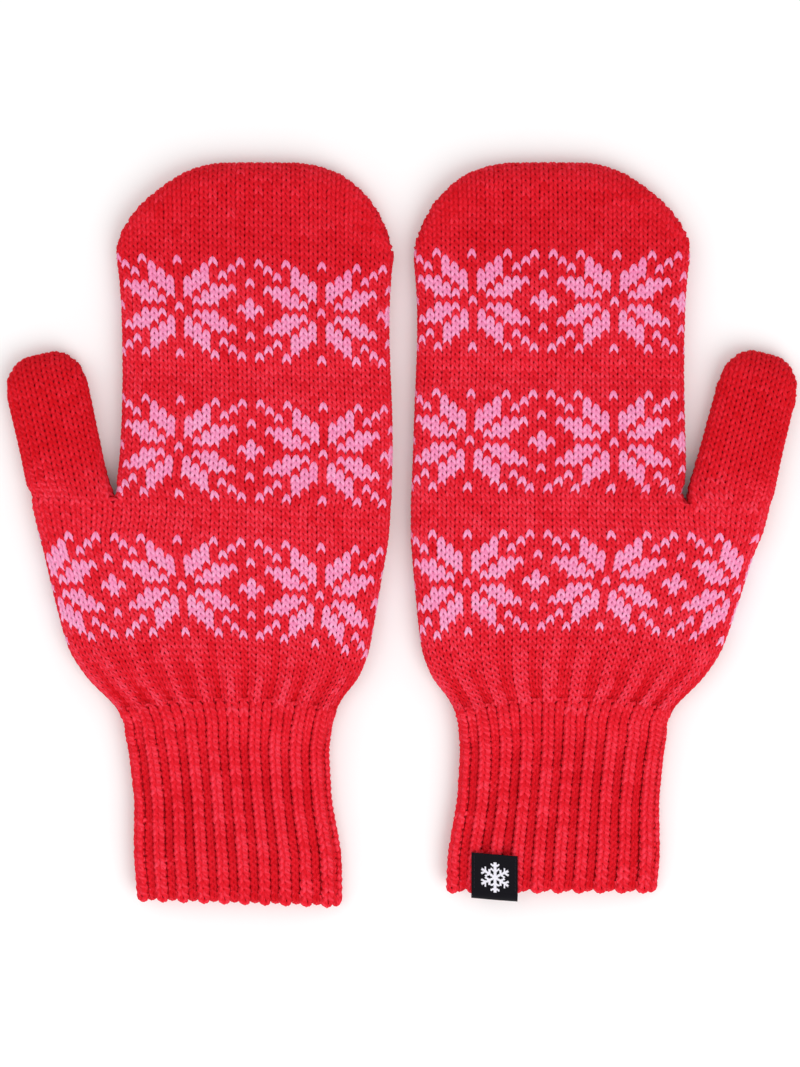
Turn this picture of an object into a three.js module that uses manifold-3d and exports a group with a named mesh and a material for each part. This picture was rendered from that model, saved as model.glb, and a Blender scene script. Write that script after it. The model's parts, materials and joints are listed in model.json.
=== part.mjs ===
// A pair of knitted mittens lying flat side by side, palms down and thumbs outward.
// Millimetres, +Z up, +Y towards the fingertips, origin at the middle of the pair on the table.
// Each mitten is a hollow knitted tube in four lengths (fingers, palm, ribbed cuff, cast-off edge)
// with a thumb tube seated in a round seat at the crotch, so that the lengths can fold and swing.

import * as THREE from 'three';
import { mergeVertices } from 'three/addons/utils/BufferGeometryUtils.js';
import Module from 'manifold-3d';

// ---- Driving dimensions ----

const WALL = 2.6; // thickness of the knitted fabric
const JOIN_GAP = 0.4; // clearance between two lengths of one mitten

const TIP_Y = 130.5; // fingertip
const KNUCKLE_Y = 55.3; // where the fingers fold
const CROTCH_Y = 12.3; // where the thumb leaves the hand
const WRIST_Y = -58.5; // where the palm gathers into the rib
const EDGE_LENGTH = 4; // length of the cast-off edge
const RIB_SETTLED_Y = -82; // the cuff narrows from the wrist down to here
const LEAN_START_Y = 40; // the wrist's sideways lean grows from here
const LEAN_END_Y = -50; // down to here

const FOLD_ANGLE = THREE.MathUtils.degToRad(80); // how far the fingers and the cuff fold up
const FOLD_MARGIN = THREE.MathUtils.degToRad(2);
const KNUCKLE_HINGE_Z = 12;
const WRIST_HINGE_Z = 10.8;

const THUMB_HEIGHT = 12.5;
const THUMB_ROOT_Y = 8; // height of the thumb's turning centre on the hand
const THUMB_SEAT_RADIUS = 16.5;
const THUMB_INWARD = THREE.MathUtils.degToRad(10.5); // how far the thumb swings to the hand

const RIBS = 20; // raised ribs round one cuff
const RIB_RELIEF = 0.8; // how far a rib stands above the middle of the fabric
const SCALLOP_DEPTH = 1.5; // how far the cast-off edge dips below each rib

const LABEL_MIDDLE_X = 32.9;
const LABEL_WIDTH = 16;
const LABEL_FRONT = 15.6; // length of the label on the outside of the cuff
const LABEL_BACK = 9; // length of its end inside the cuff
const LABEL_THICKNESS = 0.7;
const LABEL_TILT = 0.075; // drop across the label, in mm per mm
const LABEL_CLEARANCE = 0.4; // above the ribs
const LABEL_BACK_CLEARANCE = 1.3; // below the inside of the fabric
const LABEL_BEND = 2.2; // length of the turn round the cuff's edge
const LABEL_BEND_STEPS = 6;

const THREAD = 0.35; // half the width of a line of stitches, and its thickness
const STITCH_INSET = 0.9; // from the label's edges

const WAIST_SHARE = 0.42; // height of a tube's widest line, as a share of the tube's height
const CROWN_POWER = 2.8; // how square the upper half of a tube is
const SOLE_POWER = 6; // how square the lower half is
const SOLE_FLATTENING = 1.03; // pushes the lower half into the table, which makes it flat there

const TUBE_SIDES = 28;
const CAVITY_SIDES = 20;
const THUMB_SIDES = 24;
const THUMB_CAVITY_SIDES = 16;
const DISC_SIDES = 56;
const POINTS_PER_RIB = 4;
const FINE_SECTION_POINTS = 120; // round a section, before the ribs' points are spaced out on it
const OUTLINE_STEPS = 200;
const CUTTER_HEIGHT = 60; // of cutting tools, centred on the table
const WEDGE_RISE = 12; // of the wedges that clear the folds, above their hinges
const WEDGE_LENGTH = 400; // more than the width of a mitten

const MITTENS = [
  {
    name: 'left',
    thumbSide: -1,
    centreX: -50.2,
    hemY: -130.4,
    sway: 2.8, // how far the wrist leans towards the thumb side
    cuffInset: 1.1, // how much narrower the cuff is on each side than its outline
    thumbLean: THREE.MathUtils.degToRad(12.6),
    thumbRootX: 63.9, // turning centre, out from the hand's middle line
    thumbLength: 56.6, // from the turning centre to the tip
    thumbHalfWidth: [14.2, 14.9], // at the root and near the tip
  },
  {
    name: 'right',
    thumbSide: 1,
    centreX: 52.5,
    hemY: -126,
    sway: -2.8,
    cuffInset: 0.1,
    thumbLean: THREE.MathUtils.degToRad(14.6),
    thumbRootX: 61.6,
    thumbLength: 57.4,
    thumbHalfWidth: [14.9, 14],
  },
];

const RED = 0xd22a38;
const DEEP_RED = 0xb81f2d;
const BLACK = 0x16161a;

// ---- Outlines of one mitten, seen from above: (distance from the hand's middle line, y) ----

const THUMB_SIDE_OF_HAND = outline([
  [0, TIP_Y], [12, 129.6], [23, 127], [29.5, 123.5], [38.8, 116.5], [45.2, 109.5], [49.4, 102],
  [49.6, 95.5], [48.4, 88.5], [47.6, 72], [47.5, 48], [48.1, 29], [49.3, CROTCH_Y], [50.5, -10],
]);

const INNER_SIDE = outline([
  [0, TIP_Y], [13, 129.6], [25.5, 127], [32.2, 123.5], [40, 116.5], [44.2, 109.5], [47.5, 102],
  [48.4, 95.5], [47.2, 86], [47, 64], [47.9, 46], [48.5, 11.5], [47.7, -6], [45.2, -23.5],
  [42.9, -41], [38.9, -51.5], [32.6, WRIST_Y], [29, -65.5], [27.7, -76], [28.8, -93.5], [31.8, -109],
  [32.6, -118], [32.4, -132],
]);

const THUMB_SIDE_OF_PALM = outline([
  [83.5, 30], [78.6, 11.5], [73.8, -6], [68.9, -23.5], [63.6, -41], [57.5, -50.5],
  [49.4, WRIST_Y], [43.8, -66.5], [41.7, -76], [39.9, -93.5], [40.3, -111], [38.5, -132],
]);

// ---- How high the tubes stand above the table ----

const HAND_HEIGHT = outline([
  [13, TIP_Y], [13.4, 105], [14.4, 62], [15, 0], [14.6, -40], [13.2, -60], [12.6, -80],
  [12.4, -132],
]);
const NOSE_LENGTH = 13; // the fingertip and the thumb tip round off over this length
const NOSE_POWER = 2.3;

// A smooth curve through the points, as steps from high y to low y.
function outline(points) {
  const curve = new THREE.SplineCurve(points.map(([offset, y]) => new THREE.Vector2(offset, y)));
  return curve.getPoints(OUTLINE_STEPS);
}

function valueAt(steps, y) {
  let last = 1;
  while (last < steps.length - 1 && steps[last].y > y) last += 1;
  const above = steps[last - 1];
  const below = steps[last];
  const share = (above.y - y) / (above.y - below.y || 1);
  return THREE.MathUtils.lerp(above.x, below.x, THREE.MathUtils.clamp(share, 0, 1));
}

// Height of a rounded nose at a distance from its end, as a share of the full height.
function nose(distance) {
  const inward = THREE.MathUtils.clamp(1 - distance / NOSE_LENGTH, 0, 1);
  return (1 - inward ** NOSE_POWER) ** (1 / NOSE_POWER);
}

// The wrist of a mitten lies a little to one side of its fingers.
function swayAt(mitten, y) {
  return mitten.sway * THREE.MathUtils.smoothstep(-y, -LEAN_START_Y, -LEAN_END_Y);
}

// ---- Sections across a tube ----

function signedPower(value, power) {
  return Math.sign(value) * Math.abs(value) ** power;
}

// A point of a tube's section in a direction: across the tube and up from the table.
function sectionPoint(section, angle) {
  const crown = Math.sin(angle) >= 0;
  const power = 2 / (crown ? CROWN_POWER : SOLE_POWER);
  const across = section.halfWidth * signedPower(Math.cos(angle), power);
  const waist = section.height * WAIST_SHARE;
  const reach = crown ? section.height - waist : waist * SOLE_FLATTENING;
  const up = waist + reach * signedPower(Math.sin(angle), power);
  return { across: section.middle + across, up: Math.max(up, 0) + section.base };
}

// A closed loop of points round a tube at one y.
function tubeLoop(section, sides) {
  const loop = [];
  for (let i = 0; i < sides; i += 1) {
    const point = sectionPoint(section, (2 * Math.PI * (i + 0.5)) / sides);
    loop.push(new THREE.Vector3(point.across, section.y, point.up));
  }
  return loop;
}

// The same loop with evenly spaced points, raised and lowered by the ribs.
function ribbedLoop(section, relief) {
  const curve = new THREE.CatmullRomCurve3(tubeLoop(section, FINE_SECTION_POINTS), true);
  const count = RIBS * POINTS_PER_RIB;
  const even = curve.getSpacedPoints(count).slice(0, count);
  return even.map((point, i) => {
    const next = even[(i + 1) % count];
    const previous = even[(i + count - 1) % count];
    const along = next.clone().sub(previous).normalize();
    const outward = new THREE.Vector3(along.z, 0, -along.x);
    const height = relief * Math.cos((2 * Math.PI * i) / POINTS_PER_RIB);
    const moved = point.clone().addScaledVector(outward, height);
    moved.z = Math.max(moved.z, section.base);
    return moved;
  });
}

// Section of the hand at y; inset takes it in from the outer face to the inner face.
function handSection(mitten, y, thumbSide, inset = 0) {
  const outlineY = Math.min(y + inset, TIP_Y - 0.05);
  const sway = swayAt(mitten, y);
  const inward = inset + mitten.cuffInset * THREE.MathUtils.smoothstep(-y, -WRIST_Y, -RIB_SETTLED_Y);
  const thumbEdge = sway + valueAt(thumbSide, outlineY) - inward;
  const innerEdge = sway - valueAt(INNER_SIDE, outlineY) + inward;
  const height = valueAt(HAND_HEIGHT, y) * nose(TIP_Y - outlineY);
  return {
    y,
    middle: (thumbEdge + innerEdge) / 2,
    halfWidth: (thumbEdge - innerEdge) / 2,
    height: height - 2 * inset,
    base: inset,
  };
}

// Section of the thumb at a distance up from its turning centre, in the thumb's own frame.
function thumbSection(mitten, y, inset = 0) {
  const toTip = mitten.thumbLength - y - inset;
  const inward = THREE.MathUtils.clamp(1 - toTip / NOSE_LENGTH, 0, 1);
  const [rootWidth, tipWidth] = mitten.thumbHalfWidth;
  const halfWidth = THREE.MathUtils.lerp(rootWidth, tipWidth, Math.max(y, 0) / mitten.thumbLength);
  return {
    y,
    middle: 0,
    halfWidth: halfWidth * Math.sqrt(1 - inward ** 2) - inset,
    height: THUMB_HEIGHT * nose(toTip) - 2 * inset,
    base: inset,
  };
}

// ---- Meshes ----

function meshGeometry(points, faces) {
  const geometry = new THREE.BufferGeometry();
  geometry.setAttribute('position', new THREE.Float32BufferAttribute(
    points.flatMap((point) => [point.x, point.y, point.z]), 3,
  ));
  geometry.setIndex(faces);
  return geometry;
}

// The side faces between loops of equal length, one loop after another.
function sideFaces(loops) {
  const count = loops[0].length;
  const faces = [];
  for (let row = 0; row < loops.length - 1; row += 1) {
    for (let i = 0; i < count; i += 1) {
      const a = row * count + i;
      const b = row * count + ((i + 1) % count);
      faces.push(a, a + count, b, b, a + count, b + count);
    }
  }
  return faces;
}

// A closed tube through loops given from low y to high y, with a flat end at each.
function loft(loops) {
  const count = loops[0].length;
  const points = loops.flat();
  const faces = sideFaces(loops);
  const ends = [[0, true], [loops.length - 1, false]];
  for (const [row, low] of ends) {
    const middle = new THREE.Vector3();
    loops[row].forEach((point) => middle.addScaledVector(point, 1 / count));
    points.push(middle);
    for (let i = 0; i < count; i += 1) {
      const a = row * count + i;
      const b = row * count + ((i + 1) % count);
      faces.push(points.length - 1, low ? a : b, low ? b : a);
    }
  }
  return meshGeometry(points, faces);
}

// Joins loops of equal length into a closed ring: the last loop meets the first.
function ring(loops) {
  const count = loops[0].length;
  const total = count * loops.length;
  const faces = [];
  for (let a = 0; a < total; a += 1) {
    const row = Math.floor(a / count);
    const b = row * count + ((a + 1) % count);
    faces.push(a, (a + count) % total, b, b, (a + count) % total, (b + count) % total);
  }
  return meshGeometry(loops.flat(), faces);
}

const wasm = await Module();
wasm.setup();

function solid(geometry) {
  const bare = geometry.clone();
  bare.deleteAttribute('normal');
  bare.deleteAttribute('uv');
  const merged = mergeVertices(bare, 1e-4);
  return new wasm.Manifold(new wasm.Mesh({
    numProp: 3,
    vertProperties: merged.attributes.position.array,
    triVerts: new Uint32Array(merged.index.array),
  }));
}

function geometryOf(shape) {
  const mesh = shape.getMesh();
  const geometry = new THREE.BufferGeometry();
  geometry.setAttribute('position', new THREE.BufferAttribute(mesh.vertProperties, 3));
  geometry.setIndex(new THREE.BufferAttribute(mesh.triVerts, 1));
  return geometry;
}

// ---- Cutting tools ----

// A wedge above a fold line, which leaves room for the fold.
function foldWedge(y, hingeZ) {
  const spread = WEDGE_RISE * Math.tan(FOLD_ANGLE / 2 + FOLD_MARGIN);
  const shape = new THREE.Shape([
    new THREE.Vector2(y, hingeZ),
    new THREE.Vector2(y + spread, hingeZ + WEDGE_RISE),
    new THREE.Vector2(y - spread, hingeZ + WEDGE_RISE),
  ]);
  const wedge = new THREE.ExtrudeGeometry(shape, { depth: WEDGE_LENGTH, bevelEnabled: false });
  wedge.translate(0, 0, -WEDGE_LENGTH / 2);
  // The outline was drawn as (y, z) and pushed out along the third axis, which becomes x.
  wedge.applyMatrix4(new THREE.Matrix4().makeBasis(
    new THREE.Vector3(0, 1, 0), new THREE.Vector3(0, 0, 1), new THREE.Vector3(1, 0, 0),
  ));
  return solid(wedge);
}

function thumbDisc(mitten, radius) {
  const disc = new THREE.CylinderGeometry(radius, radius, CUTTER_HEIGHT, DISC_SIDES);
  disc.rotateX(Math.PI / 2);
  disc.translate(mitten.thumbRootX, THUMB_ROOT_Y, 0);
  return solid(disc);
}

function slab(left, right, low, high) {
  const box = new THREE.BoxGeometry(right - left, high - low, CUTTER_HEIGHT);
  box.translate((left + right) / 2, (low + high) / 2, 0);
  return solid(box);
}

// ---- The lengths of one mitten, thumb towards +x ----

function handTube(mitten, stations, thumbSide, inset) {
  const sides = inset ? CAVITY_SIDES : TUBE_SIDES;
  return solid(loft(stations.map((y) => (
    tubeLoop(handSection(mitten, y, thumbSide, inset), sides)
  ))));
}

function makeFingers(mitten) {
  const low = KNUCKLE_Y + JOIN_GAP / 2;
  const outerDepths = [62, 50, 40, 33, 27, 21, 15, 9.5, 5.5, 2.8, 1.1, 0.3];
  const outer = [low, ...outerDepths.map((depth) => TIP_Y - depth)];
  const cavityDepths = [50, 35, 27, 19, 12, 7, 4.6];
  const cavity = [low - 10, ...cavityDepths.map((depth) => TIP_Y - depth)];
  return handTube(mitten, outer, THUMB_SIDE_OF_HAND, 0)
    .subtract(handTube(mitten, cavity, THUMB_SIDE_OF_HAND, WALL))
    .subtract(foldWedge(KNUCKLE_Y, KNUCKLE_HINGE_Z));
}

function makePalm(mitten) {
  // The hand's upper and gusset parts overlap a little round the crotch.
  const low = WRIST_Y + JOIN_GAP / 2;
  const high = KNUCKLE_Y - JOIN_GAP / 2;
  const gussetStations = [low, -51, -42, -32, -18, -2, CROTCH_Y];
  const handStations = [CROTCH_Y - 5, 28, 42, high];
  const outer = handTube(mitten, gussetStations, THUMB_SIDE_OF_PALM, 0)
    .add(handTube(mitten, handStations, THUMB_SIDE_OF_HAND, 0));
  const cavity = handTube(mitten, [low - 6, -51, -38, -20, CROTCH_Y], THUMB_SIDE_OF_PALM, WALL)
    .add(handTube(mitten, [-8, 20, 40, high + 8], THUMB_SIDE_OF_HAND, WALL));
  return outer
    .subtract(cavity)
    .subtract(thumbDisc(mitten, THUMB_SEAT_RADIUS + JOIN_GAP))
    .subtract(thumbSwingSpace(mitten))
    .subtract(slab(mitten.thumbRootX, mitten.thumbRootX + 40, THUMB_ROOT_Y - 6, CROTCH_Y + 1))
    .subtract(foldWedge(KNUCKLE_Y, KNUCKLE_HINGE_Z))
    .subtract(foldWedge(WRIST_Y, WRIST_HINGE_Z));
}

// The thumb's tube from a foot below its turning centre, through stations given from the tip.
function thumbTube(mitten, lean, foot, depths, inset, sides) {
  const stations = [foot, ...depths.map((depth) => mitten.thumbLength - depth)];
  const geometry = loft(stations.map((y) => tubeLoop(thumbSection(mitten, y, inset), sides)));
  geometry.rotateZ(-lean);
  geometry.translate(mitten.thumbRootX, THUMB_ROOT_Y, 0);
  return solid(geometry);
}

function makeThumb(mitten) {
  const foot = -20;
  const outerDepths = [56, 40, 25, 14, 9.5, 5.5, 2.6, 1, 0.3];
  const cavityDepths = [45, 25, 17, 11, 7, 4.6];
  const seat = thumbDisc(mitten, THUMB_SEAT_RADIUS);
  const above = slab(mitten.thumbRootX - 60, mitten.thumbRootX + 60, THUMB_ROOT_Y, 100);
  return thumbTube(mitten, mitten.thumbLean, foot, outerDepths, 0, THUMB_SIDES)
    .subtract(thumbTube(mitten, mitten.thumbLean, foot - 2, cavityDepths, WALL, THUMB_CAVITY_SIDES))
    .intersect(seat.add(above));
}

// The space the thumb needs at the inner end of its swing.
function thumbSwingSpace(mitten) {
  const lean = mitten.thumbLean - THUMB_INWARD;
  return thumbTube(mitten, lean, 0, [40, 25, 5], -JOIN_GAP, THUMB_SIDES);
}

function makeCuff(mitten) {
  const high = WRIST_Y - JOIN_GAP / 2;
  const low = mitten.hemY + EDGE_LENGTH + JOIN_GAP;
  const stations = [low, -112, -94, -76, -66, high];
  const outer = loft(stations.map((y) => (
    ribbedLoop(handSection(mitten, y, THUMB_SIDE_OF_PALM), RIB_RELIEF)
  )));
  const cavityStations = [low - 5, -112, -94, -76, high + 5];
  const cavity = handTube(mitten, cavityStations, THUMB_SIDE_OF_PALM, WALL);
  return solid(outer)
    .subtract(cavity)
    .subtract(foldWedge(WRIST_Y, WRIST_HINGE_Z));
}

// The cast-off edge: one row of stitches that dips below every rib.
function makeCuffEdge(mitten) {
  const rows = [
    { inset: WALL, rise: EDGE_LENGTH, relief: 0 },
    { inset: WALL, rise: 1, relief: 0 },
    { inset: WALL / 2, rise: 0, relief: 0 },
    { inset: 0, rise: 1, relief: RIB_RELIEF },
    { inset: 0, rise: EDGE_LENGTH, relief: RIB_RELIEF },
  ];
  return solid(ring(rows.map(({ inset, rise, relief }) => {
    const y = mitten.hemY + rise;
    const loop = ribbedLoop(handSection(mitten, y, THUMB_SIDE_OF_PALM, inset), relief);
    if (rise === EDGE_LENGTH) return loop;
    return loop.map((point, i) => {
      const dip = (1 - Math.cos((2 * Math.PI * i) / POINTS_PER_RIB)) / 2;
      return point.setY(y + SCALLOP_DEPTH * dip);
    });
  })));
}

// ---- The woven label folded over the cuff's edge ----

// Height of a cuff's upper fabric at x: its outside, or its inside with an inset.
function roofHeight(mitten, x, y, inset) {
  const section = handSection(mitten, y, THUMB_SIDE_OF_PALM, inset);
  const share = Math.min(Math.abs((x - section.middle) / section.halfWidth), 1);
  const waist = section.height * WAIST_SHARE;
  const rise = (section.height - waist) * (1 - share ** CROWN_POWER) ** (1 / CROWN_POWER);
  return section.base + waist + rise;
}

// How much further apart two parallel faces are measured upright than squarely, at x on the roof.
function steepness(mitten, x, y, inset) {
  const rise = roofHeight(mitten, x + 0.5, y, inset) - roofHeight(mitten, x - 0.5, y, inset);
  return Math.hypot(1, rise);
}

// The label's centre line across the cuff's edge at x, from the outside to the inside.
function labelPath(mitten, x, labelX) {
  const half = LABEL_THICKNESS / 2;
  const drop = LABEL_TILT * (x - labelX + LABEL_WIDTH / 2);
  const foldY = mitten.hemY - LABEL_CLEARANCE - half - drop;
  const frontAt = (y) => new THREE.Vector2(
    y, roofHeight(mitten, x, y, 0)
      + (RIB_RELIEF + LABEL_CLEARANCE + half) * steepness(mitten, x, y, 0),
  );
  const backAt = (y) => new THREE.Vector2(
    y, roofHeight(mitten, x, y, WALL)
      - (LABEL_BACK_CLEARANCE + half) * steepness(mitten, x, y, WALL),
  );
  const front = frontAt(foldY + LABEL_BEND);
  const back = backAt(foldY + LABEL_BEND);
  const path = [frontAt(foldY + LABEL_FRONT), frontAt(foldY + LABEL_FRONT / 2)];
  for (let i = 0; i <= LABEL_BEND_STEPS; i += 1) {
    const angle = (Math.PI * i) / LABEL_BEND_STEPS;
    path.push(new THREE.Vector2(
      foldY + LABEL_BEND * (1 - Math.sin(angle)),
      (front.y + back.y) / 2 + ((front.y - back.y) / 2) * Math.cos(angle),
    ));
  }
  path.push(backAt(foldY + LABEL_BACK));
  return path;
}

// A strip along a path in the y-z plane, given for each x: a closed solid of even thickness.
function strip(columns, thickness) {
  const loops = columns.map(({ x, path }) => {
    const sides = [1, -1].map((side) => path.map((point, i) => {
      const next = path[Math.min(i + 1, path.length - 1)];
      const previous = path[Math.max(i - 1, 0)];
      const along = next.clone().sub(previous).normalize();
      return new THREE.Vector3(
        x, point.x + (side * -along.y * thickness) / 2, point.y + (side * along.x * thickness) / 2,
      );
    }));
    return [...sides[0], ...sides[1].reverse()];
  });
  const count = loops[0].length;
  const far = (loops.length - 1) * count;
  const faces = sideFaces(loops);
  for (let i = 0; i < count / 2 - 1; i += 1) {
    const [a, b, c, d] = [i, i + 1, count - 2 - i, count - 1 - i];
    faces.push(a, b, c, a, c, d);
    faces.push(far + a, far + c, far + b, far + a, far + d, far + c);
  }
  return solid(meshGeometry(loops.flat(), faces));
}

function makeLabel(mitten, labelX) {
  const columns = [-2, -1, 0, 1, 2].map((step) => {
    const x = labelX + (step * LABEL_WIDTH) / 4;
    return { x, path: labelPath(mitten, x, labelX) };
  });
  return strip(columns, LABEL_THICKNESS);
}

// A line of black thread that holds the label down along one side.
function makeLabelStitches(mitten, labelX, side) {
  const x = labelX + side * (LABEL_WIDTH / 2 - STITCH_INSET);
  const lift = LABEL_THICKNESS / 2 + LABEL_CLEARANCE + THREAD / 2;
  const [top, middle] = labelPath(mitten, x, labelX);
  const down = middle.clone().sub(top).normalize();
  const ends = [STITCH_INSET, LABEL_FRONT - 3 * STITCH_INSET];
  const path = ends.map((distance) => {
    const point = top.clone().addScaledVector(down, distance);
    return point.setY(point.y + lift);
  });
  const columns = [-THREAD, THREAD].map((step) => ({ x: x + step, path }));
  return strip(columns, THREAD);
}

// ---- Assembly ----

const knit = { roughness: 0.9, metalness: 0 };
const fabricRed = new THREE.MeshStandardMaterial({ color: RED, ...knit });
const ribRed = new THREE.MeshStandardMaterial({ color: DEEP_RED, ...knit });
const labelBlack = new THREE.MeshStandardMaterial({ color: BLACK, roughness: 0.7, metalness: 0 });

const pair = new THREE.Group();

function place(mitten, name, shape, material) {
  const geometry = geometryOf(shape);
  if (mitten.thumbSide < 0) {
    geometry.scale(-1, 1, 1);
    const index = geometry.index.array;
    for (let i = 0; i < index.length; i += 3) {
      [index[i + 1], index[i + 2]] = [index[i + 2], index[i + 1]];
    }
  }
  geometry.computeVertexNormals();
  const mesh = new THREE.Mesh(geometry, material.clone());
  mesh.name = name;
  mesh.position.set(mitten.centreX, 0, 0);
  pair.add(mesh);
}

for (const mitten of MITTENS) {
  place(mitten, `${mitten.name}_fingers`, makeFingers(mitten), fabricRed);
  place(mitten, `${mitten.name}_palm`, makePalm(mitten), fabricRed);
  place(mitten, `${mitten.name}_thumb`, makeThumb(mitten), fabricRed);
  place(mitten, `${mitten.name}_cuff`, makeCuff(mitten), ribRed);
  place(mitten, `${mitten.name}_cuff_edge`, makeCuffEdge(mitten), ribRed);
}

const labelled = MITTENS[1];
const labelX = LABEL_MIDDLE_X - labelled.centreX;
place(labelled, 'label', makeLabel(labelled, labelX), labelBlack);
place(labelled, 'label_stitches_left', makeLabelStitches(labelled, labelX, -1), labelBlack);
place(labelled, 'label_stitches_right', makeLabelStitches(labelled, labelX, 1), labelBlack);

export default pair;
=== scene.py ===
import json
import math

import bpy
import numpy as np
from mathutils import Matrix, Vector


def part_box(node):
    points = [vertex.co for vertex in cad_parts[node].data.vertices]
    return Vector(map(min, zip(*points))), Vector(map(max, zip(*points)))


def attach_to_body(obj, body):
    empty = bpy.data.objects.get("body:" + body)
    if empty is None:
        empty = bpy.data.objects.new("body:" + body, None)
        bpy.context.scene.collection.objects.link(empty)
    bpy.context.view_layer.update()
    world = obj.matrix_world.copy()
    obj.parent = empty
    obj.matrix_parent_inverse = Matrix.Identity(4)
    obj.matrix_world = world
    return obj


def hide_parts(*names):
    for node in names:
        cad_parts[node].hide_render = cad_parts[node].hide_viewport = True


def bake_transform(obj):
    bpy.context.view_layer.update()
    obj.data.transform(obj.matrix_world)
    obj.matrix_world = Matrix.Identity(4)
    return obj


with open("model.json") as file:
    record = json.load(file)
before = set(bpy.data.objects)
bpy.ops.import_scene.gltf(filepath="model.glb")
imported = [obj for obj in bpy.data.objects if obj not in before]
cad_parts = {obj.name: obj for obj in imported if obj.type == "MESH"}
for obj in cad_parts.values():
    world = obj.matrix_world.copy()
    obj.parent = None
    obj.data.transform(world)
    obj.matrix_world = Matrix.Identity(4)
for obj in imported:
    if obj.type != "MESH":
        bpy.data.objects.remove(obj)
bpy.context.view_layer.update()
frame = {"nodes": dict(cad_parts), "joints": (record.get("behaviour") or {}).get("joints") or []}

# All lengths below are millimetres; meshes are scaled to metres as they are made.
MM = 0.001

# ---- The fabric ----

INSET = 1.25  # from the CAD surface to the middle of the yarn
WAIST = 0.42  # height of a tube's widest line, as a share of its height
CROWN_POWER = 2.8  # how square the upper half of a section is
SOLE_POWER = 6  # how square the lower half is
THINNEST = 5.6  # height of two layers of fabric at a folded edge
TINY = 0.01  # a width that can be divided by
SHORTEST_STEP = 0.2  # between two rows that still show a direction
SHORTEST_PATH = 0.3  # of a column of stitches over a closed tip
OUTLINE_STEP = 0.5  # between the levels at which the CAD's outline is read
SOFTENING = 6.0  # how wide an outline is softened, in those steps
SOFTENING_REACH = 16  # steps to each side that count
# Lengths at both ends of an outline over which it stays as the CAD has it.
BODY_EVEN = (4, 8)
HAND_EVEN = (3, 24)
THUMB_EVEN = (2, 16)
HEM_GAP = 0.3  # the outlines are read from this far inside the CAD's ends
TIP_GAP = 0.05
ARC_POINTS = 361  # points that measure a section
GUIDE_POINTS = 400
PATH_POINTS = 80  # points that measure a column's way over a tip

ROW = 2.33  # height of one row of the hand
PALM_ROWS = 30
STRAIGHT_ROWS = 38  # rows of the hand before the tip closes
DOME = 12  # grid rows over a closed tip
CUFF_ROWS = 29
HAND_COLUMNS = 32  # across the front; as many again at the back
THUMB_SIDE_COLUMNS = 8
PALM_COLUMNS = HAND_COLUMNS + THUMB_SIDE_COLUMNS
THUMB_COLUMNS = 10
THUMB_ROWS = 17
CUFF_COLUMNS = 20
MIDDLE_WIDENING = 0.03  # how much wider than the average a column at the middle is
CROTCH_ABOVE_ROOT = 1.6  # from the thumb's turning centre up to the crotch
THUMB_SHARE = 0.238  # of the palm's width, at the crotch
ROOT_SWELL = 0.7  # how much wider the fabric runs on from the palm into the thumb's outer side
ROOT_SWELL_LENGTH = 28
HAND_CARRY = (2.5, 5)  # rows over which the palm's last row gives way to the hand, flat and in height
THUMB_CARRY = (3, 5)
THUMB_LEVEL_ROWS = 7  # rows of the thumb that turn from level to square with its axis

# A row's ends hang below its middle, by this much at these numbers of rows below the crotch.
ARCH_ROWS = (0, 4, 13, 22, 30, 38)
ARCH_DROPS = (0, 0.6, 3.2, 6.0, 4.0, 0)
SHARING_ROWS = 8  # rows below the crotch in which the thumb's columns keep their own width
TURNING_ROWS = 12  # rows below the crotch in which the palm's columns turn round it
TILTING_ROWS = 10  # rows above the wrist in which the palm's rows take on the hand's tilt

RIB_SHARE = 0.58  # of a rib and its furrow, how much is rib
RIB_RISE = 0.9
FURROW_DEPTH = 1.6
RIB_SQUARENESS = 1.6
RIB_GROWTH_ROWS = 13  # rows over which the ribs rise from the wrist
RIB_GROWTH_ABOVE = 4  # rows above the wrist at which their height would be nothing
PLEAT = 1.7  # how far the palm's fabric stands up in pleats above the ribs
PLEAT_LENGTH = 27
PLEAT_BELOW = 6  # how far below the wrist the pleats are at their full height
PLEAT_MIDDLE = 0.6  # what of a pleat's wave counts as level
LOBE = 1.5  # how far a rib dips at the hem
LOBE_ROWS = 3.5
HEM_ABOVE_CAD = 0.8  # gap left for the yarn of the cast-off edge
HEM_SLANT_ROWS = 12

YARN = 0.237  # yarn radius as a share of a column's width
YARN_LEAST = 0.46
YARN_MOST = 0.95
LOOP_DEPTH = 0.16  # how far a leg stands up, as a share of a column's width
LOOP_DEPTH_LEAST = 0.3
LOOP_DEPTH_MOST = 0.55
SIDE_DEPTH = 0.45  # the same at a folded side, as a share of what it is on top
LOOP_HALF_HEIGHT = 0.76  # in rows
LOOP_OVERLAP = 1.54  # how far a stitch's legs lean together at the foot
LOOP_ASYMMETRY = 0.09
PLAIN_LOOP = (1, 1, 1)  # width, length and depth of a stitch
RIB_LOOP = (0.86, 1.06, 0.8)  # its legs are drawn together
FURROW_LOOP = (1, 1.1, 0.6)  # seen edge on, between two ribs
HEAD_LIFT = 0.35  # how far a loop's foot stands behind its head
WIDTH_JITTER = 0.03
COLUMN_JITTER = 0.018
ROW_JITTER = 0.025
TONE_JITTER = 0.14
BACK_OUTER = -0.5  # the wall behind the yarn, from the middle of the yarn inward
BACK_INNER = -1.6

FRONT = (10, 6)  # segments and sides of a stitch that faces up
BACK = (8, 5)
MOST_STITCHES = 1500  # in one piece
UV_EDGE = 0.02  # margin round a stitch's square in the texture
UV_FILL = 1 - 2 * UV_EDGE
LAYER_FILL = 0.48  # of the texture, the part for one side of a two-sided piece

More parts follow.
